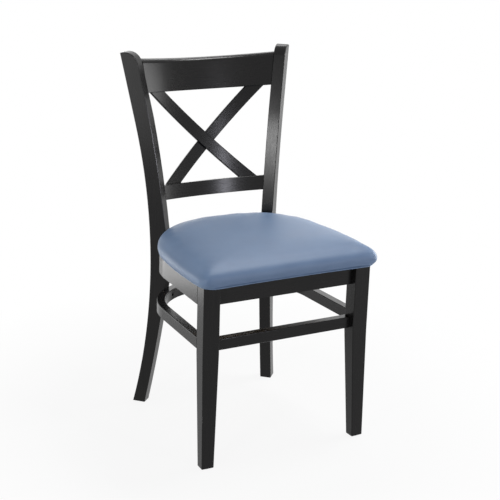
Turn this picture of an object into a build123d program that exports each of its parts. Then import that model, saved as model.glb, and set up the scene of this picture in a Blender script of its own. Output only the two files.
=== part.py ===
from build123d import *
import os
from math import asin, atan2, cos, radians, sin, sqrt, tan

os.makedirs("parts", exist_ok=True)

# Bentwood dining chair with a crossed back and a padded seat, in millimetres and degrees.
# The sitter faces -Y, Z is up and the floor is Z = 0. Left and right are as seen from the front.

# Seat frame
front_span = 432
front_face_y = -227.8
side_taper = 2.4
frame_top = 435
apron_height = 49
rail_thickness = 20
rail_setback = 13.6
seat_hoop_depth = 388
seat_bend_share = 0.407

# Stretchers
stretcher_hoop_bottom = 282.5
stretcher_hoop_height = 26
stretcher_hoop_depth = 393
stretcher_bend_share = 0.382
stretcher_thickness = 21
front_stretcher_bottom = 277
front_stretcher_height = 27

# Front legs
front_leg_width = 40
front_leg_depth = 36
front_foot_width = 30
front_foot_depth = 25
front_foot_kick = 7
taper_top = 272

# Rear legs, drawn in a vertical plane that is turned away from the middle of the chair
rear_leg_turn = 43.4
rear_leg_axis_depth = 209.7
rear_leg_thickness = 29
foot_back = 283.4
foot_depth = 31.2
knee_height = 374
knee_back = 238.7
knee_depth = 47
lower_mid_height = 205
lower_mid_front = 215
upper_mid_height = 540
upper_mid_front = 210.2
bend_top_height = 720
bend_top_back = 280.2
post_depth = 38.5
post_top = 880
post_top_round = 32
knee_round = 300

# Back: the rails and slats all follow one raked cylinder
back_rake = 11.1
back_radius = 400
back_recess = 4.5
crest_bottom = 779
crest_height = 83
crest_scoop = 4
crest_easing = 12
back_rail_thickness = 22
lower_rail_drop = 259
lower_rail_height = 36
slat_width = 31
slat_thickness = 7.5
slat_setback = 4
slat_top_offset = 134
slat_bottom_offset = 101
slat_tenon = 18

# Seat pad
cover_thickness = 1.2
cover_border = 28
board_thickness = 12
foam_clearance = 0.3
pad_front_overhang = 11
pad_side_overhang = 1
pad_depth = 366
pad_bend_share = 0.398
pad_corner_radius = 22
pad_draw_in = 5
pad_height = 54
pad_bulge = 14
pad_rear_share = 0.6

# Joinery and fasteners
dowel_radius = 4
dowel_length = 36
dowel_fit = 0.1
dowel_end_gap = 2
lower_dowel_share = 0.8
shank_radius = 2
head_radius = 4
head_height = 3
screw_fit = 0.2
leg_screw_bite = 24
stretcher_head_depth = 5
block_leg = 85
block_height = 28
block_screw_offset = 50
block_screw_grip = 22
block_screw_bite = 12
seat_screw_offset = 32
seat_screw_bite = 10
rear_block_width = 56
rear_block_depth = 46
rear_block_screw_spacing = 34
glide_radius = 9
glide_height = 2
glide_nail_radius = 1.2
glide_nail_length = 14
edge_easing = 2
foot_easing = 1.5
edge_chamfer = 1.2

# Sizes that follow from the ones above
half_span = front_span / 2
seat_bend_radius = seat_bend_share * front_span
stretcher_bend_radius = stretcher_bend_share * front_span
pad_bend_radius = pad_bend_share * front_span
frame_bottom = frame_top - apron_height
taper_slope = tan(radians(side_taper))
seat_hoop_rear = front_face_y + seat_hoop_depth
stretcher_hoop_rear = front_face_y + stretcher_hoop_depth
rail_front_y = front_face_y + rail_setback
apron_rear_y = rail_front_y + rail_thickness
turn_sin = sin(radians(rear_leg_turn))
turn_cos = cos(radians(rear_leg_turn))
rake_sin = sin(radians(back_rake))
rake_cos = cos(radians(back_rake))
rear_leg_axis_y = front_face_y + rear_leg_axis_depth
knee_front = knee_back - knee_depth
lower_rail_top = lower_rail_height - lower_rail_drop

# The front leg plane stands on the outer front corner, turned with the taper of the side.
front_leg_plane = Plane(
    origin=(half_span, front_face_y, 0),
    x_dir=(cos(radians(side_taper)), sin(radians(side_taper)), 0),
    z_dir=(0, 0, 1),
)
# In the rear leg plane x is the reach from the middle of the chair and y is height.
rear_leg_plane = Plane(
    origin=(0, rear_leg_axis_y, 0),
    x_dir=(turn_sin, turn_cos, 0),
    z_dir=(turn_cos, -turn_sin, 0),
)
post_face_right = rear_leg_plane.offset(-rear_leg_thickness / 2)
post_face_left = Plane(
    origin=(-post_face_right.origin.X, post_face_right.origin.Y, 0),
    x_dir=(-turn_sin, turn_cos, 0),
    z_dir=(-turn_cos, -turn_sin, 0),
)

def side_half_width(y):
    """Half width of the frame over its outer side faces, at a distance along Y."""
    return half_span - taper_slope * (y - front_face_y)


def u_plan(rear_y, bend_radius, inset, front_y):
    """Everything inside a U that follows the sides of the chair, drawn in by an inset."""
    inset_x = inset / cos(radians(side_taper))
    front_x = side_half_width(front_y) - inset_x
    rear_x = side_half_width(rear_y - inset) - inset_x
    with BuildSketch() as plan:
        with BuildLine():
            bend = FilletPolyline(
                (-front_x, front_y),
                (-rear_x, rear_y - inset),
                (rear_x, rear_y - inset),
                (front_x, front_y),
                radius=bend_radius - inset,
            )
            Line(bend @ 1, bend @ 0)
        make_face()
    return plan.sketch


def hoop(rear_y, bend_radius, thickness, bottom, height):
    """A bent U whose ends stop at the rear faces of the front legs."""
    end_y = front_face_y + front_leg_depth / 2
    with BuildPart() as bent:
        with BuildSketch(Plane.XY.offset(bottom)):
            add(u_plan(rear_y, bend_radius, 0, end_y))
            add(u_plan(rear_y, bend_radius, thickness, end_y), mode=Mode.SUBTRACT)
        extrude(amount=height)
        add(front_leg_pair, mode=Mode.SUBTRACT)
    return bent.part


def straight_rail(thickness, bottom, height):
    """A straight rail between the inner faces of the front legs."""
    reach = side_half_width(rail_front_y) - front_leg_width / 2
    with BuildPart() as rail:
        with BuildSketch(Plane.XY.offset(bottom)):
            with Locations((0, rail_front_y + thickness / 2)):
                Rectangle(2 * reach, thickness)
        extrude(amount=height)
        add(front_leg_pair, mode=Mode.SUBTRACT)
    return rail.part


def both_sides(piece):
    """A right-hand piece together with its mirror image."""
    with BuildPart() as pair:
        add(piece)
        mirror(about=Plane.YZ)
    return pair.part


def pegs(planes, radius, length):
    """Round pegs centred on the planes, each along its plane's normal."""
    with BuildPart() as group:
        for plane in planes:
            with BuildSketch(plane.offset(-length / 2)):
                Circle(radius)
            extrude(amount=length)
    return group.part


def dowels(planes):
    """Dowels for the joints on the right and the left."""
    return both_sides(pegs(planes, dowel_radius, dowel_length))


def dowel_holes(planes):
    """Holes for the dowels of the joints on the right and the left."""
    return both_sides(pegs(planes, dowel_radius + dowel_fit, dowel_length + dowel_end_gap))


def screws(planes, length, fit=0, head_room=0):
    """Countersunk screws driven along the planes' normals, or with a fit the holes they need."""
    with BuildPart() as group:
        for plane in planes:
            with BuildSketch(plane):
                Circle(shank_radius + fit)
            extrude(amount=length + fit)
            with BuildSketch(plane):
                Circle(head_radius + fit)
            with BuildSketch(plane.offset(head_height)):
                Circle(shank_radius + fit)
            loft()
            if head_room > 0:
                with BuildSketch(plane):
                    Circle(head_radius + fit)
                extrude(amount=-head_room)
    return group.part


def joint_heights(bottom, height):
    """Heights of the two dowels in the end of a rail."""
    return (bottom + height / 4, bottom + height * 3 / 4)


def leg_joint_planes(x, y, normal, bottom, height):
    """Dowel planes on a front leg, at a point of its plan and square to one of its faces."""
    planes = []
    for z in joint_heights(bottom, height):
        planes.append(Plane(origin=front_leg_plane.from_local_coords((x, y, z)), z_dir=normal))
    return planes


def bent_slab(setback, thickness, low, high):
    """A stretch of the raked back cylinder between two heights along the rake."""
    with BuildPart() as slab:
        with BuildSketch(back_plane.offset(low)):
            with Locations((0, -back_radius)):
                Circle(back_radius + setback + thickness)
                Circle(back_radius + setback, mode=Mode.SUBTRACT)
            Rectangle(front_span, back_radius, mode=Mode.INTERSECT)
        extrude(amount=high - low)
    return slab.part


def slat(setback, lean):
    """One slat of the cross, long enough to be housed in both rails."""
    rise = -lower_rail_top
    run = slat_top_offset + slat_bottom_offset
    length = sqrt(rise ** 2 + run ** 2)
    strip_angle = Vector(run, -rise).get_signed_angle(Vector(1, 0)) * lean
    middle = (lean * (slat_bottom_offset - slat_top_offset) / 2, lower_rail_top / 2)
    blank = bent_slab(setback, slat_thickness, lower_rail_top - lower_rail_height, crest_height)
    with BuildPart() as strip:
        add(blank)
        with BuildSketch(back_view_plane):
            with Locations(middle):
                Rectangle(length + 2 * slat_tenon, slat_width, rotation=strip_angle)
        extrude(amount=back_radius, both=True, mode=Mode.INTERSECT)
        long_edges = strip.edges().filter_by(lambda edge: edge.length > length)
        fillet(long_edges, edge_easing)
    return strip.part


def on_circle(centre, radius, angle):
    """A point of a circle at an angle from the X axis."""
    turn = radians(angle)
    return Vector(centre.X + radius * cos(turn), centre.Y + radius * sin(turn))


def mirrored(point):
    """The same point on the other side of the chair."""
    return Vector(-point.X, point.Y)


def pad_plan(grow, height):
    """Outline of the pad at one height, let out or drawn in from its bottom edge."""
    front_x = half_span + pad_side_overhang + grow
    front_y = front_face_y - pad_front_overhang - grow
    rear_y = front_face_y + pad_depth + grow * pad_rear_share
    corner_radius = pad_corner_radius + abs(grow) / 4
    bend_radius = pad_bend_radius + grow
    centres = []
    for y, radius in ((front_y + corner_radius, corner_radius), (rear_y - bend_radius, bend_radius)):
        side_x = front_x - taper_slope * (y - front_y)
        centres.append(Vector(side_x - radius / cos(radians(side_taper)), y))
    corner, bend = centres
    front_end = Vector(corner.X, front_y)
    corner_middle = on_circle(corner, corner_radius, (side_taper - 90) / 2)
    side_front = on_circle(corner, corner_radius, side_taper)
    side_rear = on_circle(bend, bend_radius, side_taper)
    side_middle = (side_front + side_rear) / 2 - front_leg_plane.x_dir * pad_draw_in
    bend_middle = on_circle(bend, bend_radius, (side_taper + 90) / 2)
    rear_end = Vector(bend.X, rear_y)
    with BuildSketch(Plane.XY.offset(height)) as plan:
        with BuildLine():
            ThreePointArc(mirrored(front_end), (0, front_y + pad_draw_in), front_end)
            ThreePointArc(front_end, corner_middle, side_front)
            ThreePointArc(side_front, side_middle, side_rear)
            ThreePointArc(side_rear, bend_middle, rear_end)
            Line(rear_end, mirrored(rear_end))
            ThreePointArc(mirrored(rear_end), mirrored(bend_middle), mirrored(side_rear))
            ThreePointArc(mirrored(side_rear), mirrored(side_middle), mirrored(side_front))
            ThreePointArc(mirrored(side_front), mirrored(corner_middle), mirrored(front_end))
        make_face()
    return plan.sketch


def pad_form(shrink):
    """The crowned form of the pad, drawn in all round by the same amount."""
    # Each step is a share of the pad's height, a share of its bulge and the slope of the skin there,
    # from -1 where it faces down to 1 where it faces up.
    steps = (
        (0, 0.2, -1),
        (0.11, 0.8, -0.3),
        (0.26, 1, 0),
        (0.46, 0.8, 0.3),
        (0.65, 0.2, 0.6),
        (0.76, -0.65, 0.9),
        (0.87, -2.4, 1),
        (0.96, -5.3, 1),
        (1, -8.4, 1),
    )
    sections = []
    for height, grow, slope in steps:
        level = frame_top + height * pad_height - slope * shrink
        sections.append(pad_plan(grow * pad_bulge - shrink, level))
    with BuildPart() as form:
        loft(sections, ruled=True)
    return form.part


# Front legs: square above the stretchers, tapered on the two inner faces below them.
with BuildPart() as front_leg_blank:
    with BuildSketch(front_leg_plane.offset(taper_top)):
        with Locations((-front_leg_width / 2, front_leg_depth / 2)):
            Rectangle(front_leg_width, front_leg_depth)
    extrude(amount=frame_top - taper_top)
    with BuildSketch(front_leg_plane.offset(glide_height)):
        with Locations((-front_foot_width / 2, front_foot_depth / 2 - front_foot_kick)):
            Rectangle(front_foot_width, front_foot_depth)
    with BuildSketch(front_leg_plane.offset(taper_top)):
        with Locations((-front_leg_width / 2, front_leg_depth / 2)):
            Rectangle(front_leg_width, front_leg_depth)
    loft()
front_leg_pair = both_sides(front_leg_blank.part)

# Dowels at the front legs: the straight rails meet the inner faces, the hoops the rear faces.
inner_normal = front_leg_plane.x_dir
rear_normal = front_leg_plane.y_dir
rail_joint_y = rail_setback + rail_thickness / 2
stretcher_joint_y = rail_setback + stretcher_thickness / 2
apron_joints = leg_joint_planes(-front_leg_width, rail_joint_y, inner_normal, frame_bottom, apron_height)
stretcher_joints = leg_joint_planes(
    -front_leg_width, stretcher_joint_y, inner_normal, front_stretcher_bottom, front_stretcher_height
)
seat_hoop_joints = leg_joint_planes(
    -rail_thickness / 2, front_leg_depth, rear_normal, frame_bottom, apron_height
)
stretcher_hoop_joints = leg_joint_planes(
    -stretcher_thickness / 2, front_leg_depth, rear_normal, stretcher_hoop_bottom, stretcher_hoop_height
)
front_leg_holes = dowel_holes(apron_joints + stretcher_joints + seat_hoop_joints + stretcher_hoop_joints)

# Hoops and straight rails, before they are drilled
seat_hoop_blank = hoop(seat_hoop_rear, seat_bend_radius, rail_thickness, frame_bottom, apron_height)
stretcher_hoop_blank = hoop(
    stretcher_hoop_rear,
    stretcher_bend_radius,
    stretcher_thickness,
    stretcher_hoop_bottom,
    stretcher_hoop_height,
)
front_apron_blank = straight_rail(rail_thickness, frame_bottom, apron_height)
front_stretcher_blank = straight_rail(stretcher_thickness, front_stretcher_bottom, front_stretcher_height)

# Rear legs: a bent outline that bows forward at the seat and straightens out towards the top.
with BuildPart() as rear_leg_blank:
    with BuildSketch(rear_leg_plane) as rear_leg_outline:
        with BuildLine():
            back_bend = ThreePointArc(
                (foot_back, glide_height),
                (knee_back, knee_height),
                (bend_top_back, bend_top_height),
            )
            lean = back_bend % 1
            forward = Vector(-lean.Y, lean.X) * post_depth
            bend_end = back_bend @ 1
            top_back = bend_end + lean * ((post_top - bend_top_height) / lean.Y)
            Polyline(bend_end, top_back, top_back + forward, bend_end + forward)
            ThreePointArc(
                bend_end + forward,
                (upper_mid_front, upper_mid_height),
                (knee_front, knee_height),
            )
            lower_front = ThreePointArc(
                (knee_front, knee_height),
                (lower_mid_front, lower_mid_height),
                (foot_back - foot_depth, glide_height),
            )
            Line(lower_front @ 1, back_bend @ 0)
        make_face()
        top_corner = rear_leg_outline.vertices().sort_by(Axis.Y)[-1]
        fillet(top_corner, post_top_round)
        knee_corner = rear_leg_outline.vertices().sort_by(Axis.X)[0]
        fillet(knee_corner, knee_round)
    extrude(amount=rear_leg_thickness / 2, both=True)
    side_faces = rear_leg_blank.faces().filter_by(Axis((0, 0, 0), rear_leg_plane.z_dir))
    chamfer(side_faces.edges(), edge_chamfer)

# The back rails stand a little behind the front edges of the posts. The back plane is square to
# the rake, and the back view plane looks at the back along the rake.
rise_to_crest = crest_bottom - bend_top_height
post_back_reach = bend_end.X + rise_to_crest * lean.X / lean.Y
post_front_reach = post_back_reach - post_depth / lean.Y
post_corner = rear_leg_plane.from_local_coords((post_front_reach, crest_bottom, -rear_leg_thickness / 2))
back_bow = back_radius - sqrt(back_radius ** 2 - post_corner.X ** 2)
back_origin = (0, post_corner.Y + back_bow * rake_cos + back_recess, crest_bottom)
back_plane = Plane(origin=back_origin, x_dir=(1, 0, 0), z_dir=(0, rake_sin, rake_cos))
back_view_plane = Plane(origin=back_origin, x_dir=(1, 0, 0), z_dir=(0, -rake_cos, rake_sin))


def hoop_inner_reach(rear_y, bend_radius, thickness):
    """Reach of a hoop's inner face along the middle of the rear leg."""
    centre_y = rear_y - bend_radius
    centre_x = side_half_width(centre_y) - bend_radius / cos(radians(side_taper))
    along = centre_x * turn_sin + (centre_y - rear_leg_axis_y) * turn_cos
    across = centre_x * turn_cos - (centre_y - rear_leg_axis_y) * turn_sin
    return along + sqrt((bend_radius - thickness) ** 2 - across ** 2)


def leg_screw_planes(reach, heights):
    """Planes for screws driven outwards along the rear leg plane."""
    planes = []
    for height in heights:
        start = rear_leg_plane.from_local_coords((reach, height, 0))
        planes.append(Plane(origin=start, z_dir=rear_leg_plane.x_dir))
    return planes


# Screws from inside the bends into the rear legs
seat_screw_reach = hoop_inner_reach(seat_hoop_rear, seat_bend_radius, rail_thickness)
seat_leg_planes = leg_screw_planes(seat_screw_reach, joint_heights(frame_bottom, apron_height))
seat_leg_length = rail_thickness + leg_screw_bite
stretcher_inner = hoop_inner_reach(stretcher_hoop_rear, stretcher_bend_radius, stretcher_thickness)
stretcher_middle = stretcher_hoop_bottom + stretcher_hoop_height / 2
stretcher_leg_planes = leg_screw_planes(stretcher_inner + stretcher_head_depth, (stretcher_middle,))
stretcher_leg_length = stretcher_thickness - stretcher_head_depth + leg_screw_bite
seat_leg_holes = both_sides(screws(seat_leg_planes, seat_leg_length, screw_fit, rail_thickness))
stretcher_leg_holes = both_sides(
    screws(stretcher_leg_planes, stretcher_leg_length, screw_fit, stretcher_thickness)
)

# Dowels between the back rails and the posts run along the ends of the bent rails.


def rail_end_planes(thickness, low, height):
    """Dowel planes where a bent rail meets the right-hand post."""
    middle_radius = back_radius + thickness / 2
    centre = back_plane.from_local_coords((0, -back_radius, 0))
    face_offset = post_face_right.origin.dot(post_face_right.z_dir)
    across = turn_cos * middle_radius
    behind = turn_sin * middle_radius * rake_cos
    planes = []
    for z in joint_heights(low, height):
        wanted = face_offset + turn_sin * (centre.Y + z * rake_sin)
        angle = asin(wanted / sqrt(across ** 2 + behind ** 2)) + atan2(behind, across)
        outward = Vector(sin(angle), cos(angle) * rake_cos, -cos(angle) * rake_sin)
        along = Vector(cos(angle), -sin(angle) * rake_cos, sin(angle) * rake_sin)
        start = centre + outward * middle_radius + back_plane.z_dir * z
        planes.append(Plane(origin=start, z_dir=along))
    return planes


crest_joints = rail_end_planes(back_rail_thickness, 0, crest_height)
# The lower rail's dowels sit low in it, clear of the slat ends.
lower_joints = rail_end_planes(
    back_rail_thickness, -lower_rail_drop, lower_rail_height * lower_dowel_share
)
post_holes = dowel_holes(crest_joints + lower_joints)

# Cross slats: the front one leans one way, the rear one lies against its back and leans the other way.
slat_front = slat(slat_setback, 1)
slat_rear = slat(slat_setback + slat_thickness, -1)

# Seat blocks, with the screws that hold them and the seat
inner_corner_x = side_half_width(apron_rear_y) - rail_thickness / cos(radians(side_taper))
block_bottom = frame_top - block_height
block_middle = frame_top - block_height / 2
rear_inner_y = seat_hoop_rear - rail_thickness
side_screw_y = apron_rear_y + block_screw_offset
side_screw_x = inner_corner_x - taper_slope * block_screw_offset - block_screw_grip
rear_screw_x = rear_block_screw_spacing / 2
front_screw_x = inner_corner_x - block_screw_offset
block_screw_planes = [
    Plane(origin=(front_screw_x, apron_rear_y + block_screw_grip, block_middle), z_dir=(0, -1, 0)),
    Plane(origin=(side_screw_x, side_screw_y, block_middle), z_dir=inner_normal),
    Plane(origin=(rear_screw_x, rear_inner_y - block_screw_grip, block_middle), z_dir=(0, 1, 0)),
]
block_screw_length = block_screw_grip + block_screw_bite
seat_screw_planes = [
    Plane(
        origin=(inner_corner_x - seat_screw_offset, apron_rear_y + seat_screw_offset, block_bottom),
        z_dir=(0, 0, 1),
    ),
]
rear_seat_screw_plane = Plane(
    origin=(0, rear_inner_y - rear_block_depth / 2, block_bottom), z_dir=(0, 0, 1)
)
seat_screw_length = block_height + cover_thickness + seat_screw_bite
block_screw_holes = both_sides(screws(block_screw_planes, block_screw_length, screw_fit, block_leg / 2))
seat_screw_holes = both_sides(screws(seat_screw_planes, seat_screw_length, screw_fit))
rear_seat_screw_hole = screws([rear_seat_screw_plane], seat_screw_length, screw_fit)

# Glides under the four feet
front_glide = front_leg_plane.from_local_coords(
    (-front_foot_width / 2, front_foot_depth / 2 - front_foot_kick, 0)
)
rear_glide = rear_leg_plane.from_local_coords((foot_back - foot_depth / 2, 0, 0))
glide_points = (front_glide, rear_glide)
with BuildPart() as glide_pair:
    for point in glide_points:
        with BuildSketch(Plane(origin=point, z_dir=(0, 0, 1))):
            Circle(glide_radius)
        extrude(amount=glide_height)
        with BuildSketch(Plane(origin=point, z_dir=(0, 0, 1))):
            Circle(glide_nail_radius)
        extrude(amount=glide_height + glide_nail_length)
    rims = glide_pair.edges().filter_by(GeomType.CIRCLE).group_by(Axis.Z)[0]
    fillet(rims, glide_height / 3)
nail_planes = []
for point in glide_points:
    nail_planes.append(Plane(origin=point, z_dir=(0, 0, 1)))
nail_reach = glide_height + glide_nail_length + dowel_end_gap / 2
nail_holes = pegs(nail_planes, glide_nail_radius + dowel_fit, 2 * nail_reach)

with BuildPart() as glides:
    add(both_sides(glide_pair.part))
glides.part.label = "glides"
export_step(glides.part, "parts/glides.step")

# Front legs
with BuildPart() as front_leg_right:
    add(front_leg_blank.part)
    upright_edges = front_leg_right.edges().filter_by(lambda edge: abs((edge % 0.5).Z) > 0.9)
    fillet(upright_edges, edge_easing)
    foot_edges = front_leg_right.faces().sort_by(Axis.Z)[0].edges()
    fillet(foot_edges, foot_easing)
    add(front_leg_holes, mode=Mode.SUBTRACT)
    add(nail_holes, mode=Mode.SUBTRACT)
front_leg_right.part.label = "front_leg_right"
export_step(front_leg_right.part, "parts/front_leg_right.step")

with BuildPart() as front_leg_left:
    add(front_leg_right.part)
    mirror(about=Plane.YZ, mode=Mode.REPLACE)
front_leg_left.part.label = "front_leg_left"
export_step(front_leg_left.part, "parts/front_leg_left.step")

# Rear legs, housed over the hoops
with BuildPart() as rear_leg_right:
    add(rear_leg_blank.part)
    add(seat_hoop_blank, mode=Mode.SUBTRACT)
    add(stretcher_hoop_blank, mode=Mode.SUBTRACT)
    add(seat_leg_holes, mode=Mode.SUBTRACT)
    add(stretcher_leg_holes, mode=Mode.SUBTRACT)
    add(post_holes, mode=Mode.SUBTRACT)
    add(nail_holes, mode=Mode.SUBTRACT)
rear_leg_right.part.label = "rear_leg_right"
export_step(rear_leg_right.part, "parts/rear_leg_right.step")

with BuildPart() as rear_leg_left:
    add(rear_leg_right.part)
    mirror(about=Plane.YZ, mode=Mode.REPLACE)
rear_leg_left.part.label = "rear_leg_left"
export_step(rear_leg_left.part, "parts/rear_leg_left.step")

# Seat frame
with BuildPart() as seat_hoop:
    add(seat_hoop_blank)
    add(front_leg_holes, mode=Mode.SUBTRACT)
    add(seat_leg_holes, mode=Mode.SUBTRACT)
    add(block_screw_holes, mode=Mode.SUBTRACT)
seat_hoop.part.label = "seat_hoop"
export_step(seat_hoop.part, "parts/seat_hoop.step")

with BuildPart() as front_apron:
    add(front_apron_blank)
    add(front_leg_holes, mode=Mode.SUBTRACT)
    add(block_screw_holes, mode=Mode.SUBTRACT)
front_apron.part.label = "front_apron"
export_step(front_apron.part, "parts/front_apron.step")

# Stretchers
with BuildPart() as stretcher_hoop:
    add(stretcher_hoop_blank)
    top_edges = stretcher_hoop.faces().sort_by(Axis.Z)[-1].edges()
    long_top_edges = top_edges.filter_by(lambda edge: edge.length > 2 * stretcher_thickness)
    fillet(long_top_edges, edge_easing)
    add(front_leg_holes, mode=Mode.SUBTRACT)
    add(stretcher_leg_holes, mode=Mode.SUBTRACT)
stretcher_hoop.part.label = "stretcher_hoop"
export_step(stretcher_hoop.part, "parts/stretcher_hoop.step")

with BuildPart() as front_stretcher:
    add(front_stretcher_blank)
    rail_edges = front_stretcher.edges().filter_by(Axis.X)
    fillet(rail_edges, edge_easing)
    add(front_leg_holes, mode=Mode.SUBTRACT)
front_stretcher.part.label = "front_stretcher"
export_step(front_stretcher.part, "parts/front_stretcher.step")

# Back rails
crest_slab = bent_slab(0, back_rail_thickness, 0, crest_height)
with BuildPart() as crest_rail:
    add(crest_slab)
    with BuildSketch(back_view_plane):
        with BuildLine():
            scoop = ThreePointArc(
                (-half_span, crest_height), (0, crest_height - crest_scoop), (half_span, crest_height)
            )
            Polyline(scoop @ 1, (half_span, 0), (-half_span, 0), scoop @ 0)
        make_face()
    extrude(amount=back_radius, both=True, mode=Mode.INTERSECT)
    long_edges = crest_rail.edges().filter_by(lambda edge: edge.length > half_span)
    fillet(long_edges.group_by(Axis.Z)[-1], crest_easing)
    long_edges = crest_rail.edges().filter_by(lambda edge: edge.length > half_span)
    fillet(long_edges.sort_by(Axis.Z)[:2], edge_easing)
    split(bisect_by=post_face_right, keep=Keep.BOTTOM)
    split(bisect_by=post_face_left, keep=Keep.BOTTOM)
    add(slat_front, mode=Mode.SUBTRACT)
    add(slat_rear, mode=Mode.SUBTRACT)
    add(post_holes, mode=Mode.SUBTRACT)
crest_rail.part.label = "crest_rail"
export_step(crest_rail.part, "parts/crest_rail.step")

lower_slab = bent_slab(0, back_rail_thickness, -lower_rail_drop, lower_rail_top)
with BuildPart() as lower_back_rail:
    add(lower_slab)
    chamfer(lower_back_rail.edges().filter_by(lambda edge: edge.length > half_span), edge_chamfer)
    split(bisect_by=post_face_right, keep=Keep.BOTTOM)
    split(bisect_by=post_face_left, keep=Keep.BOTTOM)
    add(slat_front, mode=Mode.SUBTRACT)
    add(slat_rear, mode=Mode.SUBTRACT)
    add(post_holes, mode=Mode.SUBTRACT)
lower_back_rail.part.label = "lower_back_rail"
export_step(lower_back_rail.part, "parts/lower_back_rail.step")

with BuildPart() as cross_slat_front:
    add(slat_front)
cross_slat_front.part.label = "cross_slat_front"
export_step(cross_slat_front.part, "parts/cross_slat_front.step")

with BuildPart() as cross_slat_rear:
    add(slat_rear)
cross_slat_rear.part.label = "cross_slat_rear"
export_step(cross_slat_rear.part, "parts/cross_slat_rear.step")

# Seat blocks
with BuildPart() as corner_block_right:
    with BuildSketch(Plane.XY.offset(block_bottom)):
        add(u_plan(seat_hoop_rear, seat_bend_radius, rail_thickness, apron_rear_y))
        with BuildLine():
            Polyline(
                (inner_corner_x - block_leg, apron_rear_y),
                (inner_corner_x, apron_rear_y),
                (inner_corner_x, apron_rear_y + block_leg),
                close=True,
            )
        make_face(mode=Mode.INTERSECT)
    extrude(amount=block_height)
    add(front_leg_pair, mode=Mode.SUBTRACT)
    add(block_screw_holes, mode=Mode.SUBTRACT)
    add(seat_screw_holes, mode=Mode.SUBTRACT)
corner_block_right.part.label = "corner_block_right"
export_step(corner_block_right.part, "parts/corner_block_right.step")

with BuildPart() as corner_block_left:
    add(corner_block_right.part)
    mirror(about=Plane.YZ, mode=Mode.REPLACE)
corner_block_left.part.label = "corner_block_left"
export_step(corner_block_left.part, "parts/corner_block_left.step")

with BuildPart() as rear_seat_block:
    with BuildSketch(Plane.XY.offset(block_bottom)):
        with Locations((0, rear_inner_y - rear_block_depth / 2)):
            Rectangle(rear_block_width, rear_block_depth)
    extrude(amount=block_height)
    add(block_screw_holes, mode=Mode.SUBTRACT)
    add(rear_seat_screw_hole, mode=Mode.SUBTRACT)
rear_seat_block.part.label = "rear_seat_block"
export_step(rear_seat_block.part, "parts/rear_seat_block.step")

# Seat pad: board and foam inside a cover that is turned under the board
board_bottom = frame_top + cover_thickness
board_top = board_bottom + board_thickness
skin_gap = cover_thickness + foam_clearance
outer_form = pad_form(0)
inner_form = pad_form(cover_thickness)
foam_form = pad_form(skin_gap)

with BuildPart() as seat_cover:
    add(outer_form)
    add(inner_form, mode=Mode.SUBTRACT)
    with BuildSketch(Plane.XY.offset(frame_top)):
        add(pad_plan(-cover_border, 0))
    extrude(amount=cover_thickness, mode=Mode.SUBTRACT)
seat_cover.part.label = "seat_cover"
export_step(seat_cover.part, "parts/seat_cover.step")

with BuildPart() as seat_board:
    with BuildSketch(Plane.XY.offset(board_bottom)):
        add(pad_plan(-2 * skin_gap, 0))
    extrude(amount=board_thickness)
    add(seat_screw_holes, mode=Mode.SUBTRACT)
    add(rear_seat_screw_hole, mode=Mode.SUBTRACT)
seat_board.part.label = "seat_board"
export_step(seat_board.part, "parts/seat_board.step")

with BuildPart() as seat_foam:
    add(foam_form)
    split(bisect_by=Plane.XY.offset(board_top), keep=Keep.TOP)
seat_foam.part.label = "seat_foam"
export_step(seat_foam.part, "parts/seat_foam.step")

# Dowels
with BuildPart() as apron_dowels:
    add(dowels(apron_joints))
apron_dowels.part.label = "apron_dowels"
export_step(apron_dowels.part, "parts/apron_dowels.step")

with BuildPart() as seat_hoop_dowels:
    add(dowels(seat_hoop_joints))
seat_hoop_dowels.part.label = "seat_hoop_dowels"
export_step(seat_hoop_dowels.part, "parts/seat_hoop_dowels.step")

with BuildPart() as stretcher_dowels:
    add(dowels(stretcher_joints))
stretcher_dowels.part.label = "stretcher_dowels"
export_step(stretcher_dowels.part, "parts/stretcher_dowels.step")

with BuildPart() as hoop_stretcher_dowels:
    add(dowels(stretcher_hoop_joints))
hoop_stretcher_dowels.part.label = "hoop_stretcher_dowels"
export_step(hoop_stretcher_dowels.part, "parts/hoop_stretcher_dowels.step")

with BuildPart() as crest_dowels:
    add(dowels(crest_joints))
crest_dowels.part.label = "crest_dowels"
export_step(crest_dowels.part, "parts/crest_dowels.step")

with BuildPart() as lower_rail_dowels:
    add(dowels(lower_joints))
lower_rail_dowels.part.label = "lower_rail_dowels"
export_step(lower_rail_dowels.part, "parts/lower_rail_dowels.step")

# Screws
with BuildPart() as seat_hoop_screws:
    add(both_sides(screws(seat_leg_planes, seat_leg_length)))
seat_hoop_screws.part.label = "seat_hoop_screws"
export_step(seat_hoop_screws.part, "parts/seat_hoop_screws.step")

with BuildPart() as stretcher_screws:
    add(both_sides(screws(stretcher_leg_planes, stretcher_leg_length)))
stretcher_screws.part.label = "stretcher_screws"
export_step(stretcher_screws.part, "parts/stretcher_screws.step")

with BuildPart() as block_screws:
    add(both_sides(screws(block_screw_planes, block_screw_length)))
block_screws.part.label = "block_screws"
export_step(block_screws.part, "parts/block_screws.step")

with BuildPart() as seat_screws:
    add(both_sides(screws(seat_screw_planes, seat_screw_length)))
    add(screws([rear_seat_screw_plane], seat_screw_length))
seat_screws.part.label = "seat_screws"
export_step(seat_screws.part, "parts/seat_screws.step")
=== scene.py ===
# %% [markdown]
# # A cross-back dining chair in Blender
# The chair is black lacquered beech: square front legs, two bentwood hoops, a bent crest rail and a
# crossed pair of slats, with a blue vinyl seat pad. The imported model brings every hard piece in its
# place, in metres. This lesson adds what the eye needs: the camera of the picture, the lacquer, the
# vinyl pad blown up with a cloth simulation, the staples that hold the vinyl, and the studio.

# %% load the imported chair
from math import cos, pi, radians, sin, tan

import bmesh
import bpy
from mathutils import Matrix, Vector


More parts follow.
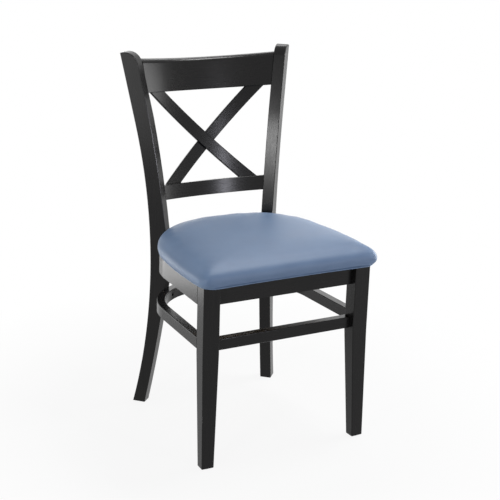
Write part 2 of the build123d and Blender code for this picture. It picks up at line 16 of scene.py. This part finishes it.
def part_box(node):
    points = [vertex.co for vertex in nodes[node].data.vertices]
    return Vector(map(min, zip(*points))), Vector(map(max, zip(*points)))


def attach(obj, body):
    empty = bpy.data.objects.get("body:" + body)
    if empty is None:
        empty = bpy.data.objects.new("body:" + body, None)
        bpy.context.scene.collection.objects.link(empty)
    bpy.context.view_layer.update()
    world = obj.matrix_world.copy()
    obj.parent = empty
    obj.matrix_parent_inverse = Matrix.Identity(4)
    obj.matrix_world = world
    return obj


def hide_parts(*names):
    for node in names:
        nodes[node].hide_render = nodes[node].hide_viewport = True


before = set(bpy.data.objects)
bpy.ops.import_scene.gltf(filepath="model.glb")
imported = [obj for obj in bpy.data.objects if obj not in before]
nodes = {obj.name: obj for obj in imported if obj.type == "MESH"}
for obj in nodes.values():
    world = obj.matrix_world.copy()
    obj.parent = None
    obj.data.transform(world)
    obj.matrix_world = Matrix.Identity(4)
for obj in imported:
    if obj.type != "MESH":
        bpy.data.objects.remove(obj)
scene = bpy.context.scene
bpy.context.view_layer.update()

# %% [markdown]
# ## The camera
# A picture of a thing with straight legs and level rails gives the camera away: its height, its turn to
# the side, its distance and a slight roll. The camera could be aimed with a tracking constraint, but a
# roll would fight with it, so the turn is written as a matrix. The place is measured from the front
# legs' outer face, which the fit was made on.

# %% set the camera
image_width = 500
focal_pixels = 1244.4
view_turn = radians(29.22)
view_rise = radians(17.54)
view_roll = radians(-1.8136)
film_width = 36
leg_face_ahead = 0.0136
camera_aside = -1.36925
camera_reach = 2.25893
camera_height = 1.32591

toward_camera = Vector((-sin(view_turn) * cos(view_rise), -cos(view_turn) * cos(view_rise), sin(view_rise)))
camera_right = Vector((cos(view_turn), -sin(view_turn), 0))
camera_up = toward_camera.cross(camera_right)
rolled_right = cos(view_roll) * camera_right - sin(view_roll) * camera_up
rolled_up = sin(view_roll) * camera_right + cos(view_roll) * camera_up
leg_face_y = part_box("front_apron")[0].y - leg_face_ahead
camera_place = Vector((camera_aside, leg_face_y - camera_reach, camera_height))

lens = bpy.data.cameras.new("camera")
lens.sensor_fit = "HORIZONTAL"
lens.sensor_width = film_width
lens.lens = focal_pixels * film_width / image_width
camera = bpy.data.objects.new("camera", lens)
scene.collection.objects.link(camera)
axes = Matrix((rolled_right, rolled_up, toward_camera)).transposed()
camera.matrix_world = Matrix.Translation(camera_place) @ axes.to_4x4()
scene.camera = camera
print("lens", round(lens.lens, 1), "mm at", [round(part, 3) for part in camera_place])

# %% [markdown]
# ## A small class for shader maths
# A finish such as lacquer or vinyl is a sum: a base colour, a grain, a gloss that wanders. Wiring each
# Math node by hand hides that sum, so one class wraps a socket and turns Python's own operators into
# Math nodes. Its `make` method adds any other node: settings first, then the values or links.

# %% define the socket class
class Value:
    """One output socket of a node tree, ready for arithmetic."""

    def __init__(self, socket):
        self.socket = socket

    def make(self, kind, settings, inputs, output=0):
        tree = self.socket.id_data
        node = tree.nodes.new(kind)
        for name, setting in settings.items():
            if name == "stops":
                for stop, (position, colour) in zip(node.color_ramp.elements, setting):
                    stop.position = position
                    stop.color = (*colour, 1)
            else:
                setattr(node, name, setting)
        for key, value in inputs.items():
            if isinstance(value, Value):
                tree.links.new(value.socket, node.inputs[key])
            else:
                node.inputs[key].default_value = value
        return Value(node.outputs[output])

    def math(self, operation, first, second):
        return self.make("ShaderNodeMath", {"operation": operation}, {0: first, 1: second})

    def __add__(self, other):
        return self.math("ADD", self, other)

    def __sub__(self, other):
        return self.math("SUBTRACT", self, other)

    def __rsub__(self, other):
        return self.math("SUBTRACT", other, self)

    def __mul__(self, other):
        return self.math("MULTIPLY", self, other)

    __radd__ = __add__
    __rmul__ = __mul__

    def larger(self, other):
        return self.math("MAXIMUM", self, other)

    def placed(self, scale, turn=(0, 0, 0)):
        return self.make("ShaderNodeMapping", {}, {"Vector": self, "Scale": scale, "Rotation": turn})

    def noise(self, size, detail=3.0, roughness=0.5):
        inputs = {"Vector": self, "Scale": 1 / size, "Detail": detail, "Roughness": roughness}
        return self.make("ShaderNodeTexNoise", {}, inputs)

    def cells(self, size):
        settings = {"feature": "DISTANCE_TO_EDGE"}
        return self.make("ShaderNodeTexVoronoi", settings, {"Vector": self, "Scale": 1 / size})

    def ramp(self, low, high):
        return self.make("ShaderNodeValToRGB", {"stops": (low, high)}, {"Fac": self})

    def between(self, low, high):
        return self.make("ShaderNodeMapRange", {}, {"Value": self, "To Min": low, "To Max": high})

    def sharp(self, start, end):
        return self.make("ShaderNodeMapRange", {}, {"Value": self, "From Min": start, "From Max": end})

    def bump(self, distance, strength):
        return self.make("ShaderNodeBump", {}, {"Height": self, "Distance": distance, "Strength": strength})


def start_finish(name, **constants):
    """A material with its constant sockets set, its shader, and the piece's own coordinates."""
    material = bpy.data.materials.new(name)
    material.use_nodes = True
    tree = material.node_tree
    shader = tree.nodes["Principled BSDF"]
    for socket, value in constants.items():
        shader.inputs[socket.replace("_", " ")].default_value = value
    return material, shader, Value(tree.nodes.new("ShaderNodeTexCoord").outputs["Object"])


def feed(shader, **varying):
    """Link the values that change over the surface to the shader."""
    for socket, value in varying.items():
        shader.id_data.links.new(value.socket, shader.inputs[socket.replace("_", " ")])


print("socket class ready")

# %% [markdown]
# ## Black lacquer on beech
# The frame is stained black and sprayed with satin lacquer. Seen close, fine grain lines still stand
# through the film, so the gloss breaks up along the wood. A picture texture could carry that, but the
# grain has to follow each piece: upright in the legs, along the rails, round the hoops and slanting with
# the slats. One function makes the finish, and a turn lays its grain along the piece.

# %% make the lacquer
grain_width = 0.0011
grain_run = 26
pore_width = 0.0005
cloud_width = 0.09
ripple_width = 0.02
film_depth = 0.00009
lacquer_black = (0.0042, 0.0042, 0.0046)
lacquer_brown = (0.0085, 0.0078, 0.0074)


def black_lacquer(name, turn=(0, 0, 0), along=(1 / grain_run, 1, 1)):
    material, shader, coords = start_finish(name, Specular_IOR_Level=0.2)
    grain = coords.placed((1, 1, 1), turn).placed(along)
    lines = grain.noise(grain_width * 3, 4, 0.62)
    pores = grain.noise(pore_width * 2, 2, 0.5).sharp(0.56, 0.72)
    cloud = coords.noise(cloud_width, 2)
    ripple = coords.noise(ripple_width, 2)
    colour = (lines * 0.7 + cloud * 0.3).ramp((0.3, lacquer_black), (0.75, lacquer_brown))
    height = lines * 0.6 - pores * 0.4 + ripple * 0.6
    feed(shader, Base_Color=colour, Normal=height.bump(film_depth, 0.2))
    feed(shader, Roughness=lines.between(0.19, 0.27) + pores * 0.04 + (cloud - 0.5) * 0.06)
    return material


def dress(material, *names):
    """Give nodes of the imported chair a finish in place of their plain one."""
    for name in names:
        for holder in nodes[name].material_slots:
            holder.material = material
    print(material.name, "on", ", ".join(names))


quarter = radians(90)
slat_slope = radians(43)
dress(black_lacquer("lacquer_upright", (0, quarter, 0)), "front_leg_left", "front_leg_right")
dress(black_lacquer("lacquer_post", (0, quarter, 0)), "rear_leg_left", "rear_leg_right")
dress(black_lacquer("lacquer_across"), "front_apron", "front_stretcher", "crest_rail", "lower_back_rail")
hoop_run = (1 / grain_run, 1 / grain_run, 1)
dress(black_lacquer("lacquer_hoop", along=hoop_run), "seat_hoop", "stretcher_hoop")
dress(black_lacquer("lacquer_slat_front", (0, -slat_slope, 0)), "cross_slat_front")
dress(black_lacquer("lacquer_slat_rear", (0, slat_slope, 0)), "cross_slat_rear")

# %% [markdown]
# ## Smooth posts
# The rear posts are sawn to a long sweep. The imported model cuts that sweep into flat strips, and a sharp
# glint shows every strip. More strips would only make smaller steps, so each post is copied, its loose
# triangles are merged, and its soft edges are shaded round while the true corners stay sharp.

# %% copy the posts with smooth shading
corner_angle = radians(20)
merge_reach = 0.00001
even_weight = 100


def settle(piece):
    """Turn a piece and its modifiers into one plain mesh."""
    graph = bpy.context.evaluated_depsgraph_get()
    mesh = bpy.data.meshes.new_from_object(piece.evaluated_get(graph))
    piece.modifiers.clear()
    piece.data = mesh
    piece.data.name = piece.name


def smooth_copy(name, piece_name):
    """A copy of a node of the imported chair, merged and shaded smooth between its true corners."""
    mesh = nodes[name].data.copy()
    mesh.name = piece_name
    shape = bmesh.new()
    shape.from_mesh(mesh)
    bmesh.ops.remove_doubles(shape, verts=shape.verts, dist=merge_reach)
    shape.to_mesh(mesh)
    shape.free()
    mesh.shade_smooth()
    mesh.set_sharp_from_angle(angle=corner_angle)
    piece = bpy.data.objects.new(piece_name, mesh)
    scene.collection.objects.link(piece)
    even = piece.modifiers.new("even", "WEIGHTED_NORMAL")
    even.keep_sharp = True
    even.weight = even_weight
    settle(piece)
    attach(piece, "root")
    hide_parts(name)
    print(piece_name, "points:", len(piece.data.vertices))


smooth_copy("rear_leg_left", "left_post")
smooth_copy("rear_leg_right", "right_post")

# %% [markdown]
# ## Bare beech and plywood
# The blocks, the dowels and the seat board are never seen from the front, so a maker leaves them bare.
# Beech is pale and pinkish, with short dark rays all over it. The board is plywood: its faces are
# veneer and its edge shows thin layers, so one pattern has to change with height.

# %% make the bare wood
ring_width = 0.004
ring_run = 18
ray_width = 0.0006
ray_run = 7
bare_depth = 0.0003
veneer = 0.0024


def bare_wood(name, pale, dark, layered):
    material, shader, coords = start_finish(name, Specular_IOR_Level=0.3)
    lines = coords.placed((1 / ring_run, 1, 1)).noise(ring_width, 4, 0.6)
    rays = coords.placed((1 / ray_run, 1, 1)).noise(ray_width * 2, 1).sharp(0.58, 0.66)
    tone = lines * 0.8 + rays * 0.35
    if layered:
        wave = {"wave_type": "BANDS", "bands_direction": "Z"}
        layers = coords.make("ShaderNodeTexWave", wave, {"Vector": coords, "Scale": 1 / (veneer * 20)}, 1)
        tone = tone + layers.sharp(0.35, 0.65) * 0.25 - 0.1
    feed(shader, Base_Color=tone.ramp((0.2, pale), (0.9, dark)), Roughness=lines.between(0.5, 0.72))
    feed(shader, Normal=(lines - rays * 0.5).bump(bare_depth, 0.5))
    return material


beech = bare_wood("bare_beech", (0.62, 0.43, 0.27), (0.36, 0.21, 0.11), False)
dress(beech, "corner_block_left", "corner_block_right", "rear_seat_block")
dowel_names = [name for name in nodes if name.endswith("_dowels")]
dress(beech, *dowel_names)
dress(bare_wood("seat_plywood", (0.6, 0.44, 0.28), (0.4, 0.26, 0.14), True), "seat_board")

# %% [markdown]
# ## Zinc plated screws and nylon glides
# The screws are zinc plated steel, dulled and a little uneven, with turning marks round the head. The
# glides under the feet are moulded nylon, dark and scuffed by the floor. Both are small, so noise at
# two sizes is enough, with no pattern that has to line up.

# %% make the small finishes
zinc_spot = 0.0016
zinc_pit = 0.0005
zinc_depth = 0.00006
scuff_width = 0.003
scuff_pit = 0.0008
scuff_depth = 0.0002

zinc, zinc_shader, spots = start_finish("zinc_plate", Metallic=1.0)
dull = spots.noise(zinc_spot, 4, 0.6)
feed(zinc_shader, Base_Color=dull.ramp((0.3, (0.52, 0.53, 0.55)), (0.7, (0.74, 0.74, 0.73))))
feed(zinc_shader, Roughness=dull.between(0.24, 0.5))
feed(zinc_shader, Normal=spots.noise(zinc_pit, 2).bump(zinc_depth, 0.4))
dress(zinc, "seat_hoop_screws", "stretcher_screws", "block_screws", "seat_screws")

nylon, nylon_shader, scuffs = start_finish("glide_nylon", Specular_IOR_Level=0.4)
wear = scuffs.noise(scuff_width, 4, 0.65)
feed(nylon_shader, Base_Color=wear.ramp((0.35, (0.022, 0.021, 0.02)), (0.8, (0.075, 0.072, 0.068))))
feed(nylon_shader, Roughness=wear.between(0.4, 0.7))
feed(nylon_shader, Normal=scuffs.noise(scuff_pit, 3).bump(scuff_depth, 0.4))
dress(nylon, "glides")

# %% [markdown]
# ## The outline of the seat pad
# The pad is a plywood board with crowned foam on it, wrapped in vinyl. In plan it is a rounded D: a
# front that pulls in slightly between its corners, sides that taper with the frame and bow out a little,
# and a round back. Under the edge the vinyl is pulled tightest at the front corners, so there they tuck
# in. It could start from a subdivided cube, but the outline follows a rule, so a function draws it at
# any width, and the pad is a stack of such outlines.

# %% draw the pad's outlines
pad_low, pad_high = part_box("seat_cover")
pad_bottom = pad_low.z
pad_height = pad_high.z - pad_low.z
pad_bulge = 0.014
swell_room = 0.002
corner_tuck = 0.016
side_tuck = 0.25
pad_rear_share = 0.6
pad_draw_in = 0.004
bow_turn = radians(5.5)
pad_corner_radius = 0.017
pad_bend_radius = 0.168
side_taper = radians(2.4)
front_points = 24
corner_points = 8
side_points = 26
bend_points = 30
pad_half_front = pad_high.x - pad_bulge + swell_room
pad_front_y = pad_low.y + pad_bulge
pad_rear_y = pad_high.y - pad_bulge * pad_rear_share


def arc(centre, radius, start, end, count):
    """Points of an arc, without its last one."""
    turns = [start + (end - start) * step / count for step in range(count)]
    return [Vector((centre[0] + radius * cos(turn), centre[1] + radius * sin(turn))) for turn in turns]


def pad_outline(grow, tuck=0):
    """The pad's plan, let out or drawn in from its bottom edge, with its front corners tucked in."""
    front_y = pad_front_y - grow
    rear_y = pad_rear_y + grow * pad_rear_share
    corner_radius = pad_corner_radius + abs(grow) / 4 + tuck
    bend_radius = pad_bend_radius + grow
    centres = []
    for y, radius in ((front_y + corner_radius, corner_radius), (rear_y - bend_radius, bend_radius)):
        side_x = pad_half_front + grow - tuck * side_tuck - tan(side_taper) * (y - front_y)
        centres.append((side_x - radius / cos(side_taper), y))
    corner, bend = centres
    half = []
    for step in range(front_points):
        share = step / front_points
        half.append(Vector((corner[0] * share, front_y + pad_draw_in * (1 - share ** 2))))
    half += arc(corner, corner_radius, -pi / 2, side_taper - bow_turn, corner_points)
    side_start = arc(corner, corner_radius, side_taper - bow_turn, pi, 1)[0]
    side_end = arc(bend, bend_radius, side_taper + bow_turn, pi, 1)[0]
    bow = (side_end - side_start).length * tan(bow_turn)
    for step in range(side_points):
        share = step / side_points
        half.append(side_start.lerp(side_end, share) + Vector((bow * share * (1 - share), 0)))
    half += arc(bend, bend_radius, side_taper + bow_turn, pi / 2, bend_points)
    half.append(Vector((bend[0], rear_y)))
    other = [Vector((-point.x, point.y)) for point in reversed(half[1:])]
    return half + other


print("pad outline points:", len(pad_outline(0)))

# %% [markdown]
# ## Blowing up the pad
# Vinyl over foam is tight: it swells between the edges that hold it and lies flat where it is stapled
# under the board. Modelling that swell by hand gives a soap bar. So the stack of outlines starts a
# little small, is remeshed into even squares, and a cloth simulation with air pressure blows it up
# while the underside is held. The foam inside keeps the vinyl from moving inwards, so only the outward
# part of each move counts, and a cap keeps the swell from ballooning.

# %% build and blow up the pad
roll_height = 0.26
roll_start = 0.45
roll_steps = 6
crown_steps = 14
crown_width = 11.2
crown_flat = 0.64
crown_round = 0.73
start_shrink = 0.0015
swell_cap = 0.006
voxel = 0.0045
held_height = 0.0025
air_pressure = 4
swell_frames = 20
smooth_factor = 0.5
soften_rounds = 2
relax_rounds = 22


def pad_profile():
    """Shares of height, bulge and corner tuck: the roll under the edge, then the crown above it."""
    steps = []
    for step in range(roll_steps):
        turn = pi / 2 * step / roll_steps
        share = roll_start + (1 - roll_start) * sin(turn)
        steps.append((roll_height * (1 - cos(turn)), share, 1 - sin(turn)))
    for step in range(crown_steps + 1):
        turn = pi / 2 * step / crown_steps
        inset = crown_width * (1 - max(cos(turn), 0) ** crown_flat)
        steps.append((roll_height + (1 - roll_height) * sin(turn) ** crown_round, 1 - inset, 0))
    return steps


def pad_blank():
    """The closed stack of outlines that the simulation starts from."""
    rings = []
    for height, share, tucked in pad_profile():
        shrink = start_shrink if height else 0
        level = pad_bottom + height * (pad_height - start_shrink)
        outline = pad_outline(share * pad_bulge - shrink, tucked * corner_tuck)
        rings.append([(x, y, level) for x, y in outline])
    count = len(rings[0])
    corners = [corner for ring in rings for corner in ring]
    faces = [tuple(reversed(range(count))), tuple(range(len(corners) - count, len(corners)))]
    for ring in range(len(rings) - 1):
        for step in range(count):
            low, high = ring * count, (ring + 1) * count
            beside = (step + 1) % count
            faces.append((low + step, low + beside, high + beside, high + step))
    mesh = bpy.data.meshes.new("seat_pad")
    mesh.from_pydata(corners, [], faces)
    mesh.update()
    return mesh


def blow_up(piece):
    """Let air pressure swell the pad, with its underside held and the swell capped."""
    start = [point.co.copy() for point in piece.data.vertices]
    outward = [point.normal.copy() for point in piece.data.vertices]
    held = piece.vertex_groups.new(name="held")
    held.add([i for i, place in enumerate(start) if place.z < pad_bottom + held_height], 1, "REPLACE")
    cloth = piece.modifiers.new("swell", "CLOTH")
    cloth.settings.use_pressure = True
    cloth.settings.uniform_pressure_force = air_pressure
    cloth.settings.vertex_group_mass = held.name
    cloth.settings.effector_weights.gravity = 0
    for step in range(1, swell_frames + 1):
        scene.frame_set(step)
    graph = bpy.context.evaluated_depsgraph_get()
    swollen = [point.co.copy() for point in piece.evaluated_get(graph).data.vertices]
    piece.modifiers.remove(cloth)
    scene.frame_set(1)
    furthest = 0
    for point, old, new, normal in zip(piece.data.vertices, start, swollen, outward):
        reach = max((new - old).dot(normal), 0)
        swell = swell_cap * reach / (swell_cap + reach)
        point.co = old + normal * swell
        furthest = max(furthest, swell)
    piece.vertex_groups.clear()
    return furthest


pad = bpy.data.objects.new("seat_pad", pad_blank())
scene.collection.objects.link(pad)
squares = pad.modifiers.new("squares", "REMESH")
squares.mode = "VOXEL"
squares.voxel_size = voxel
settle(pad)
soften = pad.modifiers.new("soften", "SMOOTH")
soften.factor = smooth_factor
soften.iterations = soften_rounds
settle(pad)
print("largest swell:", round(blow_up(pad) * 1000, 2), "mm")
free = pad.vertex_groups.new(name="free")
free.add([point.index for point in pad.data.vertices if point.co.z > pad_bottom + held_height], 1, "REPLACE")
relax = pad.modifiers.new("relax", "SMOOTH")
relax.vertex_group = free.name
relax.factor = smooth_factor
relax.iterations = relax_rounds
settle(pad)
pad.vertex_groups.clear()
finer = pad.modifiers.new("finer", "SUBSURF")
finer.levels = 1
finer.render_levels = 1
settle(pad)
print("pad points:", len(pad.data.vertices))

# %% [markdown]
# ## The underside of the pad
# Turn the chair over and the vinyl shows as a border round bare plywood. The simulated pad is closed
# underneath, so its middle is lifted into the board, and the border stays where it is.

# %% turn the vinyl under
cover_border = 0.036
board_lift = 0.004
board_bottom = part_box("seat_board")[0].z
inner_edge = pad_outline(-cover_border)


def inside(outline, x, y):
    """True where a point of the plan lies inside an outline."""
    crossings = 0
    for first, second in zip(outline, outline[1:] + outline[:1]):
        if (first.y > y) != (second.y > y):
            if x < first.x + (y - first.y) / (second.y - first.y) * (second.x - first.x):
                crossings += 1
    return crossings % 2 == 1


lifted = 0
for point in pad.data.vertices:
    if point.co.z < pad_bottom + held_height and inside(inner_edge, point.co.x, point.co.y):
        point.co.z = board_bottom + board_lift
        lifted += 1
pad.data.shade_smooth()
print("points lifted into the board:", lifted)

# %% [markdown]
# ## Blue vinyl
# Upholstery vinyl is a printed film with a pressed leather grain: fine cells about a millimetre across,
# soft gloss, and a colour that is a little uneven where the film is stretched. Cells from a Voronoi
# texture make the grain, and their height bends the light without moving the mesh.

# %% make the vinyl
vinyl_blue = (0.128, 0.194, 0.308)
vinyl_deep = (0.104, 0.162, 0.268)
grain_cell = 0.0011
stretch_width = 0.05
speck_width = 0.0009
vinyl_depth = 0.00018

vinyl, vinyl_shader, skin = start_finish("blue_vinyl", Specular_IOR_Level=0.36)
cells = skin.cells(grain_cell)
stretch = skin.noise(stretch_width, 3, 0.55)
speck = skin.noise(speck_width, 2)
tone = stretch * 0.75 + speck * 0.25
feed(vinyl_shader, Base_Color=tone.ramp((0.3, vinyl_deep), (0.7, vinyl_blue)))
feed(vinyl_shader, Roughness=stretch.between(0.4, 0.52) + cells * 0.05)
feed(vinyl_shader, Normal=(cells.sharp(0, 0.25) * 0.5 + stretch * 3).bump(vinyl_depth, 0.6))
pad.data.materials.clear()
pad.data.materials.append(vinyl)
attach(pad, "root")
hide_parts("seat_cover", "seat_foam")
print("vinyl on", pad.name)

# %% [markdown]
# ## Pieces that follow a path
# Two things run along the pad's edge: the folded lip of the vinyl and the row of staples under it. Both
# could be placed by a loop in Python, but Geometry Nodes keep the path and the shape apart, so spacing
# and thickness stay single named inputs. These helpers start such a tree and turn its result into a
# plain mesh.

# %% define the path helpers
def start_tree(name, *sizes):
    """A Geometry Nodes tree that takes a path and named sizes, with a function that adds its nodes."""
    tree = bpy.data.node_groups.new(name, "GeometryNodeTree")
    tree.interface.new_socket("Path", in_out="INPUT", socket_type="NodeSocketGeometry")
    for size in sizes:
        tree.interface.new_socket(size, in_out="INPUT", socket_type="NodeSocketFloat")
    tree.interface.new_socket("Result", in_out="OUTPUT", socket_type="NodeSocketGeometry")

    def add(kind, settings, inputs):
        node = tree.nodes.new(kind)
        for setting, value in settings.items():
            setattr(node, setting, value)
        for key, value in inputs.items():
            if isinstance(value, bpy.types.NodeSocket):
                tree.links.new(value, node.inputs[key])
            else:
                node.inputs[key].default_value = value
        return node

    return tree, add("NodeGroupInput", {}, {}).outputs, add


def end_tree(tree, add, geometry, material):
    """Realize what was laid, give it a material and hand it out."""
    real = add("GeometryNodeRealizeInstances", {}, {"Geometry": geometry})
    done = add("GeometryNodeSetMaterial", {}, {"Geometry": real.outputs[0], "Material": material})
    tree.links.new(done.outputs[0], add("NodeGroupOutput", {}, {}).inputs[0])
    return tree


def follow(name, points, closed, tree, sizes):
    """A piece made by a tree along a path of points."""
    joins = [(step, step + 1) for step in range(len(points) - 1)]
    if closed:
        joins.append((len(points) - 1, 0))
    mesh = bpy.data.meshes.new(name)
    mesh.from_pydata(points, joins, [])
    piece = bpy.data.objects.new(name, mesh)
    scene.collection.objects.link(piece)
    laying = piece.modifiers.new(name, "NODES")
    laying.node_group = tree
    for item in tree.interface.items_tree:
        if item.name in sizes:
            laying[item.identifier] = sizes[item.name]
    settle(piece)
    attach(piece, "root")
    print(name, "faces:", len(piece.data.polygons))
    return piece


print("path helpers ready")

# %% [markdown]
# ## The folded lip
# Where the vinyl turns under the board it folds over itself, and the fold stands out as a thin bright
# line all round the pad's lower edge. A round bead along the lower outline gives that line the right
# thickness, and it sits half inside the pad, so no gap shows.

# %% run the lip round the pad
lip_radius = 0.0015
lip_grow = 0.0087
lip_tuck = 0.012
lip_sides = 10

tree, given, add = start_tree("folded_lip", "Radius")
line = add("GeometryNodeMeshToCurve", {}, {"Mesh": given["Path"]})
ring = add("GeometryNodeCurvePrimitiveCircle", {}, {"Resolution": lip_sides, "Radius": given["Radius"]})
bead = add("GeometryNodeCurveToMesh", {}, {"Curve": line.outputs[0], "Profile Curve": ring.outputs[0]})
end_tree(tree, add, bead.outputs[0], vinyl)
lip_path = [(x, y, pad_bottom + lip_radius) for x, y in pad_outline(lip_grow, lip_tuck)]
lip = follow("folded_lip", lip_path, True, tree, {"Radius": lip_radius})
lip.data.shade_smooth()

# %% [markdown]
# ## Staples
# The vinyl is stapled to the board in one row along its turned edge. Each staple is the same bent
# wire: a crown and two legs. The path is resampled at the staple spacing, a staple is set on every
# point along the row's direction, and the ones that would sit over the rear block are left out. The
# row runs behind the corner blocks, round the back.

# %% lay the staples
staple_inset = 0.031
staple_spacing = 0.019
staple_crown = 0.0105
staple_wire = 0.0007
staple_leg = 0.006
rear_block_gap = 0.008
corner_block_gap = 0.012
block_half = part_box("rear_seat_block")[1].x
row_start_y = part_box("corner_block_left")[1].y + corner_block_gap

tree, given, add = start_tree("staple_row", "Spacing", "Crown", "Wire", "Leg", "Clear Half")


def bar(length, height, side, drop):
    """One straight part of the staple, set aside by half a crown and down by part of a leg."""
    size = add("ShaderNodeCombineXYZ", {}, {0: length, 1: given["Wire"], 2: height})
    cube = add("GeometryNodeMeshCube", {}, {"Size": size.outputs[0]})
    half = add("ShaderNodeMath", {"operation": "MULTIPLY"}, {0: given["Crown"], 1: side / 2})
    shift = add("ShaderNodeMath", {"operation": "MULTIPLY"}, {0: given["Leg"], 1: drop})
    place = add("ShaderNodeCombineXYZ", {}, {0: half.outputs[0], 2: shift.outputs[0]})
    inputs = {"Geometry": cube.outputs["Mesh"], "Translation": place.outputs[0]}
    return add("GeometryNodeTransform", {}, inputs).outputs[0]


staple = add("GeometryNodeJoinGeometry", {}, {})
crown = bar(given["Crown"], given["Wire"], 0, 0)
for part in (crown, bar(given["Wire"], given["Leg"], -1, 0.5), bar(given["Wire"], given["Leg"], 1, 0.5)):
    tree.links.new(part, staple.inputs[0])
line = add("GeometryNodeMeshToCurve", {}, {"Mesh": given["Path"]})
inputs = {"Curve": line.outputs[0], "Length": given["Spacing"]}
row = add("GeometryNodeResampleCurve", {"mode": "LENGTH"}, inputs)
along = add("GeometryNodeInputTangent", {}, {})
settings = {"axis": "X", "pivot_axis": "Z"}
turn = add("FunctionNodeAlignRotationToVector", settings, {"Vector": along.outputs[0]})
place = add("GeometryNodeInputPosition", {}, {})
parts = add("ShaderNodeSeparateXYZ", {}, {0: place.outputs[0]})
aside = add("ShaderNodeMath", {"operation": "ABSOLUTE"}, {0: parts.outputs[0]})
inputs = {0: aside.outputs[0], 1: given["Clear Half"]}
clear = add("FunctionNodeCompare", {"operation": "GREATER_THAN"}, inputs)
inputs = {"Points": row.outputs[0], "Instance": staple.outputs[0], "Selection": clear.outputs[0],
          "Rotation": turn.outputs[0]}
laid = add("GeometryNodeInstanceOnPoints", {}, inputs)
end_tree(tree, add, laid.outputs[0], zinc)
row_level = pad_bottom - staple_wire / 2
row_path = [(x, y, row_level) for x, y in pad_outline(-staple_inset) if y > row_start_y]
staple_sizes = {"Spacing": staple_spacing, "Crown": staple_crown, "Wire": staple_wire, "Leg": staple_leg,
                "Clear Half": block_half + rear_block_gap}
follow("staples", row_path, False, tree, staple_sizes)

# %% [markdown]
# ## The studio
# The chair stands on a plain white sweep. A real sweep is lit until it burns out, which would also
# bleach the chair, so the floor and the world are drawn white only for what looks straight at them or
# sees them mirrored. Near the chair part of the floor's own shading stays, and with it the shadow.

# %% lay the floor and the world
floor_half = 40
floor_grey = (0.5, 0.5, 0.5, 1)
white_share = 0.9
shadow_start = 0.45
shadow_end = 0.95
sky_level = 0.1

floor_mesh = bpy.data.meshes.new("floor")
floor_corners = [(x * floor_half, y * floor_half, 0) for x, y in ((-1, -1), (1, -1), (1, 1), (-1, 1))]
floor_mesh.from_pydata(floor_corners, [], [(0, 1, 2, 3)])
floor = bpy.data.objects.new("floor", floor_mesh)
scene.collection.objects.link(floor)


def seen(tree):
    """1 for the rays that show the studio itself, 0 for the light that falls on the chair."""
    path = tree.nodes.new("ShaderNodeLightPath")
    rays = [Value(path.outputs[name]) for name in ("Is Camera Ray", "Is Glossy Ray", "Is Transmission Ray")]
    return rays[0].larger(rays[1]).larger(rays[2])


sweep, sweep_shader, ground = start_finish("white_sweep", Base_Color=floor_grey, Roughness=0.9)
glow = sweep.node_tree.nodes.new("ShaderNodeEmission")
distance = ground.make("ShaderNodeVectorMath", {"operation": "LENGTH"}, {0: ground}, 1)
away = distance.sharp(shadow_start, shadow_end)
shows = seen(sweep.node_tree) * (away * (1 - white_share) + white_share)
both = {0: shows, 1: Value(sweep_shader.outputs[0]), 2: Value(glow.outputs[0])}
mixed = shows.make("ShaderNodeMixShader", {}, both)
ends = sweep.node_tree.nodes["Material Output"].inputs["Surface"]
sweep.node_tree.links.new(mixed.socket, ends)
floor_mesh.materials.append(sweep)

world = bpy.data.worlds.new("studio")
scene.world = world
world.use_nodes = True
sky = world.node_tree.nodes["Background"]
sky.inputs["Color"].default_value = (1, 1, 1, 1)
level = seen(world.node_tree) * (1 - sky_level) + sky_level
world.node_tree.links.new(level.socket, sky.inputs["Strength"])
print("floor and sky, sky level", sky_level)

# %% [markdown]
# ## The lamps
# Black lacquer shows its lights, not its colour. Two soft boxes overhead and a wide one on the right shape
# the seat and its roll, two on the left are mirrored by the legs' side faces, and two small ones in
# front put the sharp glints on the right post, the lower rail and the crossed slats. Two weak ones
# behind light the tops of the rails. Each box is aimed at the chair's middle.

# %% hang the lamps
chair_middle = Vector((0, 0, 0.42))


def soft_box(name, place, width, height, power, tint=(1, 1, 1)):
    lamp = bpy.data.lights.new(name, "AREA")
    lamp.shape = "RECTANGLE"
    lamp.size = width
    lamp.size_y = height
    lamp.energy = power
    lamp.color = tint
    box = bpy.data.objects.new(name, lamp)
    scene.collection.objects.link(box)
    box.location = place
    box.rotation_euler = (chair_middle - Vector(place)).to_track_quat("-Z", "Y").to_euler()
    box.visible_camera = False
    print(name, power, "W")


soft_box("left_low_box", (-0.75, 0.82, 0.17), 0.9, 0.3, 3)
soft_box("left_box", (-1.6, -0.1, 0.7), 0.8, 0.8, 4.8)
soft_box("key_box", (-1.9, -1.25, 0.95), 0.35, 0.35, 16.2)
soft_box("front_strip_box", (0.66, -2.02, 0.72), 0.2, 0.46, 9.5, (0.9, 0.9, 1))
soft_box("right_box", (1.35, -0.15, 0.55), 0.9, 0.9, 16)
soft_box("over_box", (0.6, -0.1, 2.1), 0.5, 0.5, 20.5)
soft_box("over_rear_box", (0.7, 0.9, 1.9), 0.6, 0.5, 5)
soft_box("rear_box", (1.0, 1.9, 1.2), 1.6, 0.8, 2)
soft_box("rear_low_box", (0.9, 1.5, 0.6), 1.2, 0.5, 2.6)

# %% [markdown]
# ## The view transform
# Blender dresses the chair and never resizes it. The picture is drawn with the Standard view transform.

# %% finish
scene.view_settings.view_transform = "Standard"
